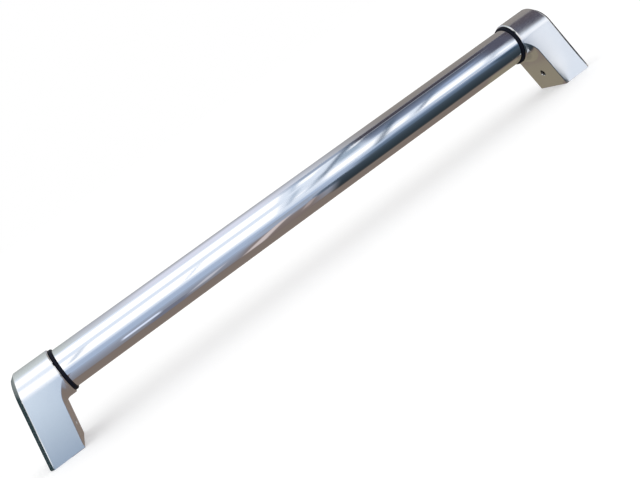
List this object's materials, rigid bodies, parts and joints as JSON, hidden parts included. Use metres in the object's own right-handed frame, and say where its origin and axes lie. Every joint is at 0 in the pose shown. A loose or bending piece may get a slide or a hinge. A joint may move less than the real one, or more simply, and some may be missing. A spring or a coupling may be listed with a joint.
{
  "type": "dishwasher handle",
  "caption": "Straight round bar handle on two splayed, round-topped end posts that clamp onto door studs with set screws.",
  "frame": {"origin": "middle of the mounting plane, halfway between the two feet", "axes": "+X along the tube, +Z away from the door, +Y across the handle"},
  "size_m": [0.5338, 0.037, 0.07],
  "materials": {
    "tube_steel": "polished stainless tube, faint lengthwise grain",
    "post_metal": "satin-plated casting, softly mirrored",
    "ring_rubber": "smooth black rubber",
    "screw_steel": "dark oiled steel"
  },
  "bodies": {
    "root": {"handle_tube": "tube_steel", "end_post_left": "post_metal", "end_post_right": "post_metal", "seal_ring_left": "ring_rubber", "seal_ring_right": "ring_rubber", "set_screw_left": "screw_steel", "set_screw_right": "screw_steel"}
  },
  "joints": []
}
